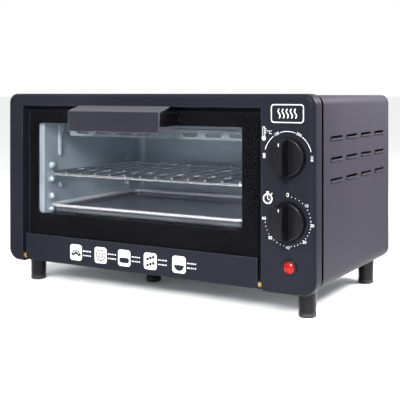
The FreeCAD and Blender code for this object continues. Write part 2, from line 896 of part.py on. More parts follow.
def indicator_lens():
    """Domed red lens pressed into the bezel."""
    plug = rod_y(lens_radius - 0.02, lamp_x, front - 1.6, front + 5, lamp_z)
    radius = (lens_radius ** 2 + 1.8 ** 2) / (2 * 1.8)
    dome = Part.makeSphere(radius, Vector(lamp_x, front - lens_proud + radius, lamp_z))
    dome = dome.common(rod_y(lens_radius - 0.02, lamp_x, front - lens_proud - over, front - 1.5, lamp_z))
    return plug.fuse(dome).removeSplitter()


def indicator_lamp():
    """Neon bulb behind the lens, with its two leads."""
    bulb = rod_y(2.6, lamp_x, front + 5, panel_back + 12, lamp_z)
    seat = rod_y(lens_radius - 0.1, lamp_x, panel_back + 9, panel_back + 12, lamp_z)
    leads = [rod_y(0.6, lamp_x + x, panel_back + 12, panel_back + 20, lamp_z) for x in (-2, 2)]
    return fuse_all([bulb, seat] + leads)


def indicator_clip():
    """Spring washer that holds the bezel from behind the panel."""
    washer = rod_y(lamp_neck + 4, lamp_x, panel_back, panel_back + 0.8, lamp_z)
    return washer.cut(rod_y(lamp_neck + 0.12, lamp_x, panel_back - over, panel_back + 2, lamp_z))


# ---- Door ----


def door_glass():
    """Toughened pane with rounded upper corners and two holes for the handle screws."""
    pane = prism_y(door_left, door_right, glass_seat, door_top, 1.0, 3.0, glass_front, glass_back)
    holes = [
        rod_y(handle_screw + glass_play, x, glass_front - over, glass_back + over, handle_screw_z)
        for x in arm_middles()
    ]
    return cut_all(pane, holes)


def door_trim():
    """Channel bent from one strip round the glass's lower edge, with ends bored for the hinge pins."""
    t = trim_sheet
    face = box(door_left, door_right, trim_front, glass_front, door_bottom, door_bottom + trim_height)
    floor = box(door_left, door_right, trim_front, trim_back, door_bottom, door_bottom + t)
    back = box(door_left, door_right, trim_back - t, trim_back, door_bottom, door_bottom + trim_back_height)
    ends = []
    for x in (door_left, door_right - t):
        ends.append(box(x, x + t, trim_front, trim_back, door_bottom, glass_seat - 0.5))
    channel = fuse_all([face, floor, back] + ends)
    corners = [
        edge for edge in channel.Edges
        if edge.BoundBox.XLength > 50 and abs(edge.BoundBox.ZMin - door_bottom) < near
    ]
    channel = channel.makeFillet(0.9, corners)
    holes = [
        rod_x(pin_radius + running_clearance, x - t, x + 2 * t, hinge_y, hinge_z)
        for x in (door_left, door_right)
    ]
    return cut_all(channel, holes)


def glass_gasket():
    """Strip between the glass and the back of the channel."""
    return box(
        door_left + 2, door_right - 2, glass_back, trim_back - trim_sheet,
        door_bottom + trim_back_height - seal_height + 1.5, door_bottom + trim_back_height,
    )


def glass_setting_pads():
    pads = []
    for offset in (-80, 80):
        middle = door_middle + offset
        pads.append(box(
            middle - pad_length / 2, middle + pad_length / 2, glass_front, glass_back,
            door_bottom + trim_sheet, glass_seat,
        ))
    return Part.makeCompound(pads)


def hinge_pin(side):
    """Brass pin riveted in the jamb, standing through the gap into the door's end."""
    jamb = opening_left if side < 0 else opening_right
    end = door_left if side < 0 else door_right
    tip = end - side * pin_reach
    seat = jamb + side * panel_sheet
    shank = rod_x(pin_radius, min(tip, seat), max(tip, seat), hinge_y, hinge_z)
    head_far = seat + side * 1.6
    head = rod_x(pin_head, min(seat, head_far), max(seat, head_far), hinge_y, hinge_z)
    return shank.fuse(head).removeSplitter()


def hinge_washers():
    """Two thin brass washers on each pin, in the gap between the jamb and the door."""
    washers = []
    for side, jamb, end in ((-1, opening_left, door_left), (1, opening_right, door_right)):
        for place in (jamb - side * 0.5, end + side * (moving_gap + 0.5)):
            ring = rod_x(pin_radius + 1.0, place - 0.4, place + 0.4, hinge_y, hinge_z)
            washers.append(ring.cut(rod_x(pin_radius + 0.02, place - over, place + over, hinge_y, hinge_z)))
    return Part.makeCompound(washers)


def arm_middles():
    return (handle_left + handle_arm / 2, handle_right - handle_arm / 2)


def side_profile(points, x0, x1):
    """Solid with a Y-Z outline, extruded along X."""
    outline = Part.makePolygon([Vector(x0, y, z) for y, z in points] + [Vector(x0, *points[0])])
    return Part.Face(outline).extrude(Vector(x1 - x0, 0, 0))


def handle_grip():
    """Moulded bar with a sloping top, and an arm at each end that stands on the glass."""
    y0 = handle_front + handle_skin
    y1 = handle_back
    top_front = handle_top - handle_skin
    top_back = handle_top + handle_rise - handle_skin
    bar = side_profile(
        [(y0, grip_low), (y1, grip_low), (y1, top_back), (y0, top_front)],
        handle_left + skin_step, handle_right - skin_step,
    )
    arms = []
    holes = []
    for x in arm_middles():
        arm = box(
            x - handle_arm / 2 + skin_step, x + handle_arm / 2 - skin_step,
            y1 - 2, glass_front, arm_low + over, handle_top - over,
        )
        along = [edge for edge in arm.Edges if edge.BoundBox.YLength > 10]
        arms.append(arm.makeFillet(1.5, along))
        holes.append(rod_y(handle_screw - 0.05, x, glass_front - 14, glass_front + over, handle_screw_z))
    return cut_all(fuse_all([bar] + arms), holes)


def handle_facing():
    """Painted metal strip that wraps the front and the sloping top of the grip."""
    y0 = handle_front
    y1 = handle_back
    t = handle_skin
    face = side_profile(
        [
            (y0, handle_low), (y0 + t, handle_low), (y0 + t, handle_top - t),
            (y1, handle_top + handle_rise - t),
            (y1, handle_top + handle_rise), (y0, handle_top),
        ],
        handle_left, handle_right,
    )
    nose = [
        edge for edge in face.Edges
        if edge.BoundBox.XLength > handle_arm and edge.BoundBox.YMax < y0 + near
        and edge.BoundBox.ZMin > handle_top - near
    ]
    face = face.makeFillet(handle_skin * 0.9, nose)
    lower = [
        edge for edge in face.Edges
        if edge.BoundBox.XLength < near and edge.BoundBox.YLength > t / 2
        and edge.BoundBox.ZMax < handle_low + near
    ]
    return face.makeFillet(facing_corner, lower)


def handle_screws():
    seat = glass_back + 1.0
    return Part.makeCompound([
        screw_in(x, handle_screw_z, seat, glass_front - 13, handle_screw - 0.1) for x in arm_middles()
    ])


def handle_washers():
    washers = []
    for x in arm_middles():
        ring = rod_y(4.2, x, glass_back, glass_back + 1.0, handle_screw_z)
        bore = rod_y(handle_screw + fit_gap, x, glass_back - over, glass_back + 2, handle_screw_z)
        washers.append(ring.cut(bore))
    return Part.makeCompound(washers)


# ---- Rack and tray ----


def ring_wire(x0, x1, y0, y1, z, corner, radius):
    """Closed rectangular hoop of round wire with rounded corners."""
    path = rounded_wire(x0, x1, y0, y1, corner, corner, lambda x, y: (x, y, z))
    start = path.OrderedVertexes[0].Point
    first_edge = path.OrderedEdges[0]
    tangent = first_edge.tangentAt(first_edge.FirstParameter)
    section = Part.Wire([Part.Circle(start, tangent, radius).toShape()])
    return path.makePipeShell([section], True, False)


def wire_rack():
    """Hoop of heavy wire, two cross wires, and light rods welded on top from front to back."""
    half = rack_wire / 2
    hoop = ring_wire(
        rack_left + half, rack_right - half, rack_front + half, rack_rear - half, rack_z, 8.0, half,
    )
    rod_z_level = rack_z + half + rod_wire / 2 - 0.4
    parts = [hoop]
    for y in (rack_front + 55, rack_rear - 45):
        parts.append(rod_x(half * 0.9, rack_left + half, rack_right - half, y, rack_z))
    pitch = (rack_right - rack_left - 14) / (rack_rods - over)
    for index in range(rack_rods):
        x = rack_left + 7 + index * pitch
        parts.append(rod_y(rod_wire / 2, x, rack_front + 0.4, rack_rear - 0.4, rod_z_level))
    return fuse_all(parts)


def baking_tray():
    """Shallow pressed tray with a rolled edge."""
    bead = tray_bead / 2
    reach = 5.0
    outer = prism_z(
        tray_left + reach, tray_right - reach, tray_front + reach, tray_rear - reach,
        tray_corner, tray_corner, tray_bottom, tray_top - bead,
    )
    lower = [edge for edge in outer.Edges if edge.BoundBox.ZMax < tray_bottom + near]
    outer = outer.makeFillet(2.5, lower)
    t = tray_sheet
    inner = prism_z(
        tray_left + reach + t, tray_right - reach - t, tray_front + reach + t, tray_rear - reach - t,
        tray_corner - t, tray_corner - t, tray_bottom + t, tray_top,
    )
    lower = [edge for edge in inner.Edges if edge.BoundBox.ZMax < tray_bottom + t + near]
    inner = inner.makeFillet(2.5 - t, lower)
    flange = prism_z(
        tray_left + bead, tray_right - bead, tray_front + bead, tray_rear - bead,
        tray_corner + reach - bead, tray_corner + reach - bead,
        tray_top - bead - t / 2, tray_top - bead + t / 2,
    )
    roll = ring_wire(
        tray_left + bead, tray_right - bead, tray_front + bead, tray_rear - bead,
        tray_top - bead, tray_corner + reach - bead, bead,
    )
    return outer.fuse(flange).cut(inner).fuse(roll).removeSplitter()


# ---- Wiring ----


def terminal_block():
    """Three-way block on the base plate behind the controls."""
    body = box(block_x - 8, block_x + 8, block_y - 15, block_y + 15, base_top, block_top)
    holes = []
    for index in range(3):
        y = block_y + (index - 1) * block_pitch
        holes.append(rod_x(wire_radius + 0.05, block_x - 9, block_x + 9, y, wire_entry_z))
        holes.append(rod_z(block_screw + 0.1, block_x, y, wire_entry_z, block_top + over))
    return cut_all(body, holes)


def terminal_screws():
    screws = []
    for index in range(3):
        y = block_y + (index - 1) * block_pitch
        screws.append(rod_z(block_screw, block_x, y, wire_entry_z + wire_radius + 0.1, block_top - 1.5))
    return Part.makeCompound(screws)


def earth_screw():
    """Screw and ring tag that bond the supply earth to the base plate."""
    x = block_x
    y = block_y - 28
    tag = rod_z(4.0, x, y, base_top, base_top + 0.8)
    head = rod_z(3.4, x, y, base_top + 0.8, base_top + 3.2)
    head = head.cut(box(x - 4, x + 4, y - 0.4, y + 0.4, base_top + 2.4, base_top + 4))
    return fuse_all([tag, head])


def live_wire():
    """From the terminal block up to the thermostat's blade."""
    end_y = panel_back + thermostat_depth + 10
    x = control_x + 9
    return bent_tube(
        [
            (block_x - 2, block_y - block_pitch, wire_entry_z),
            (block_x - 22, block_y - block_pitch, wire_entry_z),
            (block_x - 22, block_y - 40, base_top + 50),
            (x, end_y + 40, temperature_z), (x, end_y, temperature_z),
        ],
        6.0, wire_radius,
    )


def neutral_wire():
    """From the terminal block to the stud of the lower rear heating element."""
    y, z = heater_places()[1 + 2]
    x = cavity_right + heater_overhang + terminal_length
    return bent_tube(
        [(block_x - 2, block_y, wire_entry_z), (x + 14, block_y, wire_entry_z), (x + 14, y, z), (x, y, z)],
        5.0, wire_radius,
    )


def timer_wire():
    """From the timer's blade to the stud of the upper front heating element."""
    y, z = heater_places()[0]
    x = cavity_right + heater_overhang + terminal_length
    blade_x = control_x - 13
    blade_y = panel_back + timer_depth + 10
    return bent_tube(
        [
            (blade_x, blade_y, timer_z - 15), (blade_x, blade_y + 26, timer_z - 15),
            (x + 16, blade_y + 26, z), (x + 16, y, z), (x, y, z),
        ],
        5.0, wire_radius,
    )


def heater_link(x, low, high):
    """Wire between the studs of two heating elements, outside one side wall."""
    side = -1 if x < 0 else 1
    far = x + side * 9
    return bent_tube([(x, *low), (far, *low), (far, *high), (x, *high)], 4.0, wire_radius)


def heater_links():
    places = heater_places()
    left = cavity_left - heater_overhang - terminal_length
    return Part.makeCompound([
        heater_link(left, places[2], places[0]),
        heater_link(left, places[3], places[1]),
    ])


def make_nodes():
    nodes = {
        "front_panel": front_panel(),
        "outer_wrap": outer_wrap(),
        "base_plate": base_plate(),
        "rear_cover": rear_cover(),
        "cord_inlet_bushing": cord_inlet_bushing(),
        "foot_screws": foot_screws(),
        "rear_cover_screws": rear_cover_screws(),
        "cavity_shell": cavity_shell(),
        "cavity_ceiling": cavity_ceiling_sheet(),
        "cavity_floor": cavity_floor_sheet(),
        "upper_heater_guard": upper_heater_guard(),
        "heater_bushes": heater_bushes(),
        "thermostat_body": thermostat_body(),
        "timer_body": timer_body(),
        "timer_bell": timer_bell(),
        "control_screws": control_screws(),
        "thermostat_shaft": control_shaft(temperature_z),
        "timer_shaft": control_shaft(timer_z),
        "temperature_knob": knob(temperature_z),
        "timer_knob": knob(timer_z),
        "indicator_bezel": indicator_bezel(),
        "indicator_lens": indicator_lens(),
        "indicator_lamp": indicator_lamp(),
        "indicator_clip": indicator_clip(),
        "door_glass": door_glass(),
        "door_trim": door_trim(),
        "glass_gasket": glass_gasket(),
        "glass_setting_pads": glass_setting_pads(),
        "hinge_pin_left": hinge_pin(-1),
        "hinge_pin_right": hinge_pin(1),
        "hinge_washers": hinge_washers(),
        "handle_grip": handle_grip(),
        "handle_facing": handle_facing(),
        "handle_screws": handle_screws(),
        "handle_washers": handle_washers(),
        "wire_rack": wire_rack(),
        "baking_tray": baking_tray(),
        "terminal_block": terminal_block(),
        "terminal_screws": terminal_screws(),
        "earth_screw": earth_screw(),
        "live_wire": live_wire(),
        "neutral_wire": neutral_wire(),
        "timer_wire": timer_wire(),
        "heater_links": heater_links(),
    }
    heater_names = ("upper_heater_front", "upper_heater_rear", "lower_heater_front", "lower_heater_rear")
    for name, (y, z) in zip(heater_names, heater_places()):
        nodes[name] = heating_element(y, z)
    foot_names = ("foot_front_left", "foot_front_right", "foot_rear_left", "foot_rear_right")
    for name, (x, y) in zip(foot_names, feet_places):
        nodes[name] = foot(x, y, wrap_bottom)
        nodes[name + "_pad"] = foot_pad(x, y)
    nodes["foot_middle"] = foot(middle_foot[0], middle_foot[1], base_bottom)
    nodes["foot_middle_pad"] = foot_pad(middle_foot[0], middle_foot[1])
    return nodes


os.makedirs("parts", exist_ok=True)
for node_name, node_shape in make_nodes().items():
    save(node_name, node_shape)
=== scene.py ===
import json
import math
import random

import bmesh
import bpy
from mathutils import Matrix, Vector


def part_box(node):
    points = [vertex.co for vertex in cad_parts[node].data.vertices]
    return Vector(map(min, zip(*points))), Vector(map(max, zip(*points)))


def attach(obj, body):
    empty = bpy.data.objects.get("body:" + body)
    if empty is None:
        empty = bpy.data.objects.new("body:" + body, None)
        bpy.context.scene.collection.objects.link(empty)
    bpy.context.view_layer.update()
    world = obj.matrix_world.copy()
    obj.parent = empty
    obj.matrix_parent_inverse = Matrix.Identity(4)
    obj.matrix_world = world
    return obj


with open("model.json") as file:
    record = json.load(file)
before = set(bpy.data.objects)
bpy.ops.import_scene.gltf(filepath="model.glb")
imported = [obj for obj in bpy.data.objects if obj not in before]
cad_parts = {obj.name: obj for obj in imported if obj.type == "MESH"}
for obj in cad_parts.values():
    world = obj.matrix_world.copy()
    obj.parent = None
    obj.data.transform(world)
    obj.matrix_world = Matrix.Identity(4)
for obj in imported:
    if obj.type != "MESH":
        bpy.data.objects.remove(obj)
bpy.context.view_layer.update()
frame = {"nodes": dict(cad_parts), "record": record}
nodes = frame["nodes"]
random.seed(11)
scene = bpy.context.scene
scene.view_settings.view_transform = "Standard"


# ---------- Shader helpers ----------


def new_material(name, colour, roughness, metallic=0.0):
    """A Principled material with its plain values on the shader's own sockets."""
    made = bpy.data.materials.new(name)
    made.use_nodes = True
    shader = made.node_tree.nodes["Principled BSDF"]
    shader.inputs["Base Color"].default_value = (*colour, 1)
    shader.inputs["Roughness"].default_value = roughness
    shader.inputs["Metallic"].default_value = metallic
    return made, made.node_tree, shader


def place(tree, stretch=(1, 1, 1)):
    """Position in the object, stretched per axis."""
    where = tree.nodes.new("ShaderNodeTexCoord")
    mapping = tree.nodes.new("ShaderNodeMapping")
    mapping.inputs["Scale"].default_value = stretch
    tree.links.new(where.outputs["Object"], mapping.inputs["Vector"])
    return mapping.outputs["Vector"]


def noise(tree, scale, detail=3.0, stretch=(1, 1, 1)):
    made = tree.nodes.new("ShaderNodeTexNoise")
    made.inputs["Scale"].default_value = scale
    made.inputs["Detail"].default_value = detail
    tree.links.new(place(tree, stretch), made.inputs["Vector"])
    return made.outputs["Fac"]


def grade(tree, source, low, high, start=0.3, end=0.7):
    """A ramp between two colours or two grey levels."""
    ramp = tree.nodes.new("ShaderNodeValToRGB")
    ramp.color_ramp.elements[0].position = start
    ramp.color_ramp.elements[1].position = end
    for element, value in zip(ramp.color_ramp.elements, (low, high)):
        element.color = (*value, 1) if isinstance(value, tuple) else (value, value, value, 1)
    tree.links.new(source, ramp.inputs["Fac"])
    return ramp.outputs["Color"]


def relief(tree, shader, height, strength, distance, under=None):
    """Bump from a height, on top of an earlier bump if one is given."""
    bump = tree.nodes.new("ShaderNodeBump")
    bump.inputs["Strength"].default_value = strength
    bump.inputs["Distance"].default_value = distance
    tree.links.new(height, bump.inputs["Height"])
    if under is not None:
        tree.links.new(under, bump.inputs["Normal"])
    tree.links.new(bump.outputs["Normal"], shader.inputs["Normal"])
    return bump.outputs["Normal"]


def mottled(name, dark, light, rough_low, rough_high, metallic=0.0, cloud=18.0, grain=900.0,
            bump=0.15, distance=0.0002, stretch=(1, 1, 1), coat=0.0, coat_roughness=0.1):
    """Colour clouds, a roughness that varies with the fine grain and the same grain in relief."""
    made, tree, shader = new_material(name, light, rough_high, metallic)
    clouds = noise(tree, cloud, 4.0)
    fine = noise(tree, grain, 2.0, stretch)
    tree.links.new(grade(tree, clouds, dark, light), shader.inputs["Base Color"])
    tree.links.new(grade(tree, fine, rough_low, rough_high), shader.inputs["Roughness"])
    relief(tree, shader, fine, bump, distance)
    shader.inputs["Coat Weight"].default_value = coat
    shader.inputs["Coat Roughness"].default_value = coat_roughness
    return made


def edge_worn(made, worn_and_lit_edge, amount=0.5, radius=0.0009):
    """Lets the paint thin a little along sharp edges and lightens it there, partly as wear and partly as a
    painted edge highlight.
    """
    tree = made.node_tree
    shader = tree.nodes["Principled BSDF"]
    bevel = tree.nodes.new("ShaderNodeBevel")
    bevel.samples = 4
    bevel.inputs["Radius"].default_value = radius
    flat = tree.nodes.new("ShaderNodeNewGeometry")
    turn = tree.nodes.new("ShaderNodeVectorMath")
    turn.operation = "DOT_PRODUCT"
    tree.links.new(bevel.outputs["Normal"], turn.inputs[0])
    tree.links.new(flat.outputs["True Normal"], turn.inputs[1])
    mask = grade(tree, turn.outputs["Value"], amount, 0.0, 0.86, 0.995)
    mix = tree.nodes.new("ShaderNodeMix")
    mix.data_type = "RGBA"
    before = shader.inputs["Base Color"].links[0].from_socket
    tree.links.new(mask, mix.inputs[0])
    tree.links.new(before, mix.inputs[6])
    # painted highlight: the edge colour is lighter than the paint, standing partly for wear and partly for
    # light caught on the edge
    mix.inputs[7].default_value = (*worn_and_lit_edge, 1)
    tree.links.new(mix.outputs[2], shader.inputs["Base Color"])
    return made


def repaint(made, axis, start, end, colour):
    """Turns the base colour to another one past a place along an axis of the object."""
    tree = made.node_tree
    shader = tree.nodes["Principled BSDF"]
    split = tree.nodes.new("ShaderNodeSeparateXYZ")
    tree.links.new(place(tree), split.inputs["Vector"])
    past = tree.nodes.new("ShaderNodeMapRange")
    past.inputs["From Min"].default_value = start
    past.inputs["From Max"].default_value = end
    tree.links.new(split.outputs[axis], past.inputs["Value"])
    mix = tree.nodes.new("ShaderNodeMix")
    mix.data_type = "RGBA"
    before = shader.inputs["Base Color"].links[0].from_socket
    tree.links.new(past.outputs["Result"], mix.inputs[0])
    tree.links.new(before, mix.inputs[6])
    mix.inputs[7].default_value = (*colour, 1)
    tree.links.new(mix.outputs[2], shader.inputs["Base Color"])
    return made


# ---------- Materials, one for each slot ----------


def paint():
    """Satin charcoal enamel with a faint orange peel and fine metal flake."""
    made = mottled("casing_paint", (0.0085, 0.0085, 0.0130), (0.0120, 0.0120, 0.0175), 0.36, 0.46,
                   cloud=9.0, grain=1400.0, bump=0.02, distance=0.00003,
                   coat=0.02, coat_roughness=0.26)
    tree = made.node_tree
    shader = tree.nodes["Principled BSDF"]
    shader.inputs["Specular IOR Level"].default_value = 0.04
    under = shader.inputs["Normal"].links[0].from_socket
    relief(tree, shader, noise(tree, 260.0, 1.0), 0.02, 0.00006, under)
    # edges lightened toward grey, partly as worn paint and partly as a painted highlight along the panel's
    # rounded edges
    return edge_worn(made, (0.07, 0.07, 0.09), 0.5)


def wrap_paint():
    """The same enamel painted a shade lighter, as the side catches more light, and painted near black as
    shade in the seam behind the front panel's rim.
    """
    made = mottled("wrap_paint", (0.021, 0.0198, 0.0262), (0.027, 0.0255, 0.0332), 0.38, 0.48,
                   cloud=7.0, grain=1400.0, bump=0.02, distance=0.00003,
                   coat=0.0, coat_roughness=0.30)
    made.node_tree.nodes["Principled BSDF"].inputs["Specular IOR Level"].default_value = 0.03
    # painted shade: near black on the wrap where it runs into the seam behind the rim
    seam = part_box("outer_wrap")[0].y + 0.0083
    return repaint(made, "Y", seam, seam - 0.0002, (0.0015, 0.0015, 0.0020))


def handle_paint():
    """Glossier enamel on the handle's facing strip."""
    made = mottled("handle_paint", (0.0095, 0.0095, 0.0140), (0.0135, 0.0135, 0.0190), 0.34, 0.44,
                   cloud=14.0, grain=1400.0, bump=0.02, distance=0.00003,
                   coat=0.25, coat_roughness=0.22)
    made.node_tree.nodes["Principled BSDF"].inputs["Specular IOR Level"].default_value = 0.12
    # edges lightened toward pale grey, partly as worn paint and partly as a painted highlight along the
    # handle's top edge
    return edge_worn(made, (0.16, 0.16, 0.18), 0.7)


def sheet_steel(name, dark, light, spangle):
    """Bare rolled sheet: cloudy coating with fine rolling lines."""
    made = mottled(name, dark, light, 0.26, 0.40, metallic=0.45, cloud=spangle, grain=500.0,
                   bump=0.08, distance=0.0001, stretch=(0.15, 1, 6))
    return made


def glass():
    """Dark tinted toughened pane."""
    made, tree, shader = new_material("tinted_glass", (0.004, 0.004, 0.006), 0.03)
    shader.inputs["Alpha"].default_value = 0.16
    shader.inputs["Specular IOR Level"].default_value = 0.08
    shader.inputs["IOR"].default_value = 1.5
    haze = noise(tree, 26.0, 5.0)
    tree.links.new(grade(tree, haze, 0.02, 0.06), shader.inputs["Roughness"])
    tint = grade(tree, haze, (0.003, 0.003, 0.005), (0.007, 0.007, 0.009))
    tree.links.new(tint, shader.inputs["Base Color"])
    relief(tree, shader, noise(tree, 14.0, 1.0), 0.02, 0.0005)
    return made


def border_paint():
    """Dull black fired on the pane."""
    made = mottled("glass_border", (0.0012, 0.0012, 0.0016), (0.0022, 0.0022, 0.0028), 0.5, 0.7,
                   cloud=60.0, grain=200.0, bump=0.02)
    made.node_tree.nodes["Principled BSDF"].inputs["Specular IOR Level"].default_value = 0.04
    return made


def moulded():
    made = mottled("black_phenolic", (0.0022, 0.0020, 0.0032), (0.0036, 0.0034, 0.0050), 0.26, 0.38,
                   cloud=30.0, grain=1800.0, bump=0.12, distance=0.00008)
    made.node_tree.nodes["Principled BSDF"].inputs["Specular IOR Level"].default_value = 0.2
    return made


def lens():
    made, tree, shader = new_material("red_lens", (0.62, 0.012, 0.010), 0.22)
    tree.links.new(grade(tree, noise(tree, 420.0, 2.0), (0.22, 0.002, 0.002), (0.34, 0.003, 0.003)),
                   shader.inputs["Base Color"])
    shader.inputs["Transmission Weight"].default_value = 0.15
    shader.inputs["Specular IOR Level"].default_value = 0.2
    shader.inputs["Emission Color"].default_value = (0.9, 0.02, 0.01, 1)
    shader.inputs["Emission Strength"].default_value = 0.05
    relief(tree, shader, noise(tree, 900.0, 1.0), 0.1, 0.0002)
    return made


def tray_finish():
    """Grey enamel in the pan and a bare rolled edge above it, painted near white partly as its bright metal
    and partly as a painted highlight where the light from above catches it.
    """
    made = mottled("tray_enamel", (0.20, 0.21, 0.24), (0.28, 0.30, 0.34), 0.24, 0.38, metallic=0.5,
                   cloud=22.0, grain=1100.0, bump=0.05)
    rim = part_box("baking_tray")[1].z
    # painted highlight: the rolled edge turns near white above the pan
    return repaint(made, "Z", rim - 0.0034, rim - 0.0024, (0.90, 0.91, 0.94))


def white_print():
    made, tree, shader = new_material("white_print", (0.8, 0.8, 0.8), 0.5)
    tree.links.new(grade(tree, noise(tree, 1500.0, 2.0), (0.66, 0.66, 0.68), (0.82, 0.82, 0.84)),
                   shader.inputs["Base Color"])
    relief(tree, shader, noise(tree, 3000.0, 2.0), 0.2, 0.00005)
    return made


materials = {
    "casing_paint": paint(),
    "wrap_paint": wrap_paint(),
    "handle_paint": handle_paint(),
    "galvanised_steel": sheet_steel("galvanised_steel", (0.36, 0.37, 0.39), (0.45, 0.46, 0.49), 90.0),
    "aluminised_steel": sheet_steel("aluminised_steel", (0.52, 0.60, 0.67), (0.64, 0.74, 0.82), 24.0),
    # painted shade: a darker copy of the aluminised steel for the heater guard
    "guard_steel_shaded": sheet_steel("guard_steel_shaded", (0.26, 0.29, 0.32), (0.33, 0.37, 0.41), 24.0),
    "tinted_glass": glass(),
    "black_phenolic": moulded(),
    "foot_rubber": mottled("foot_rubber", (0.010, 0.010, 0.012), (0.022, 0.022, 0.026), 0.55, 0.8,
                           cloud=80.0, grain=2200.0, bump=0.3, distance=0.0002),
    "silicone": mottled("silicone", (0.16, 0.05, 0.04), (0.24, 0.08, 0.06), 0.4, 0.6,
                        cloud=60.0, grain=1500.0, bump=0.12),
    "brass": mottled("brass", (0.50, 0.34, 0.13), (0.72, 0.54, 0.24), 0.22, 0.38, metallic=1.0,
                     cloud=240.0, grain=1600.0, bump=0.1, stretch=(4, 1, 1)),
    "zinc_screws": mottled("zinc_screws", (0.42, 0.42, 0.40), (0.66, 0.66, 0.62), 0.22, 0.4, metallic=1.0,
                           cloud=300.0, grain=1900.0, bump=0.1),
    "bright_wire": mottled("bright_wire", (0.70, 0.71, 0.74), (0.86, 0.87, 0.90), 0.14, 0.28, metallic=1.0,
                           cloud=120.0, grain=1500.0, bump=0.06, stretch=(0.3, 1, 1)),
    "tray_enamel": tray_finish(),
    "heater_sheath": mottled("heater_sheath", (0.10, 0.09, 0.09), (0.30, 0.28, 0.27), 0.35, 0.6, metallic=0.8,
                             cloud=55.0, grain=1300.0, bump=0.2, stretch=(0.4, 1, 1)),
    "ceramic": mottled("ceramic", (0.66, 0.63, 0.56), (0.80, 0.78, 0.72), 0.5, 0.75,
                       cloud=140.0, grain=2200.0, bump=0.25),
    "timer_case": mottled("timer_case", (0.42, 0.40, 0.34), (0.58, 0.56, 0.50), 0.3, 0.5,
                          cloud=50.0, grain=900.0, bump=0.12),
    "red_lens": lens(),
    "lamp_glass": mottled("lamp_glass", (0.70, 0.45, 0.32), (0.86, 0.62, 0.46), 0.05, 0.12,
                          cloud=200.0, grain=700.0, bump=0.05),
    "wire_sleeve": mottled("wire_sleeve", (0.52, 0.50, 0.44), (0.70, 0.68, 0.60), 0.5, 0.75,
                           cloud=160.0, grain=2400.0, bump=0.5, stretch=(1, 1, 3)),
    "white_print": white_print(),
    "glass_border": border_paint(),
}

slot_of = {row["node"]: row["material_slot"] for row in frame["record"]["subparts"]}
special = {
    # the heater guard takes the darker, painted-shade copy of the aluminised steel
    "upper_heater_guard": "guard_steel_shaded",
    "outer_wrap": "wrap_paint",
    "handle_facing": "handle_paint",
    "live_wire": "wire_sleeve",
}
for name, node in nodes.items():
    finish = materials[special.get(name, slot_of.get(name, "casing_paint"))]
    for material_slot in node.material_slots:
        material_slot.material = finish
    if not node.material_slots:
        node.data.materials.append(finish)


# ---------- Printed marks ----------

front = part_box("front_panel")[0].y
lift = 0.00006
film = 0.00004
window_x = (-0.1456, 0.1045)
window_z = (0.0763, 0.1737)


class Print:
    """Flat shapes on a plane that faces -Y, gathered into one mesh with a little thickness."""

    def __init__(self, y):
        self.mesh = bmesh.new()
        self.y = y

    def polygon(self, points):
        corners = [self.mesh.verts.new((x, self.y, z)) for x, z in points]
        self.mesh.faces.new(corners)

    def disc(self, x, z, radius, steps=28):
        self.polygon(circle(x, z, radius, steps))

    def stroke(self, points, wide, closed=False):
        """A line of even width with mitred joints and square ends."""
        left, right = offset(points, wide / 2, closed)
        count = len(points)
        for i in range(count if closed else count - 1):
            j = (i + 1) % count
            self.polygon([left[i], left[j], right[j], right[i]])

    def ring(self, x, z, radius, wide, start=0.0, end=360.0, steps=40):
        full = end - start >= 360
        turns = [start + (end - start) * i / steps for i in range(steps if full else steps + 1)]
        self.stroke([clock(x, z, radius, turn) for turn in turns], wide, full)

    def tile(self, x0, x1, z0, z1, radius):
        self.polygon(rounded(x0, x1, z0, z1, radius))

    def finish(self, name, finish, body, slot):
        bmesh.ops.recalc_face_normals(self.mesh, faces=self.mesh.faces)
        data = bpy.data.meshes.new(name)
        self.mesh.to_mesh(data)
        self.mesh.free()
        data.materials.append(finish)
        piece = bpy.data.objects.new(name, data)
        scene.collection.objects.link(piece)
        solid = piece.modifiers.new("film", "SOLIDIFY")
        solid.thickness = film
        solid.offset = 0
        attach(piece, body)
        return piece


def clock(x, z, radius, turn):
    """The point at an angle clockwise from twelve, in degrees."""
    angle = math.radians(turn)
    return x + radius * math.sin(angle), z + radius * math.cos(angle)


def circle(x, z, radius, steps=28):
    return [clock(x, z, radius, 360 * i / steps) for i in range(steps)]


def rounded(x0, x1, z0, z1, radius, steps=6):
    points = []
    corners = ((x1 - radius, z1 - radius, 0), (x1 - radius, z0 + radius, 90),
               (x0 + radius, z0 + radius, 180), (x0 + radius, z1 - radius, 270))
    for cx, cz, start in corners:
        points += [clock(cx, cz, radius, start + 90 * i / steps) for i in range(steps + 1)]
    return points


def offset(points, half, closed):
    """The two edges of a stroke."""
    left, right = [], []
    count = len(points)
    for i, (x, z) in enumerate(points):
        before = points[i - 1] if i or closed else points[i]
        after = points[(i + 1) % count] if i < count - 1 or closed else points[i]
        way = Vector((after[0] - before[0], after[1] - before[1])).normalized()
        left.append((x - way.y * half, z + way.x * half))
        right.append((x + way.y * half, z - way.x * half))
    return left, right


def number(text, x, z, size, y, name, turn=0.0):
    """A dial number, centred and turned clockwise by some degrees, as a mesh."""
    curve = bpy.data.curves.new(name, "FONT")
    curve.body = text
    curve.size = size
    curve.align_x = "CENTER"
    curve.align_y = "CENTER"
    curve.extrude = film / 2
    curve.resolution_u = 4
    holder = bpy.data.objects.new(name + "_curve", curve)
    data = bpy.data.meshes.new_from_object(holder)
    bpy.data.objects.remove(holder)
    angle = math.radians(turn)
    for corner in data.vertices:
        across, up, out = corner.co
        right = across * math.cos(angle) + up * math.sin(angle)
        rise = up * math.cos(angle) - across * math.sin(angle)
        corner.co = (x + right, y - out, z + rise)
    data.flip_normals()
    data.materials.clear()
    data.materials.append(materials["white_print"])
    piece = bpy.data.objects.new(name, data)
    scene.collection.objects.link(piece)
    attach(piece, "body")
    return piece


def middle(node):
    low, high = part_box(node)
    return (low + high) / 2


temperature = middle("temperature_knob")
timer = middle("timer_knob")
print_y = front - lift


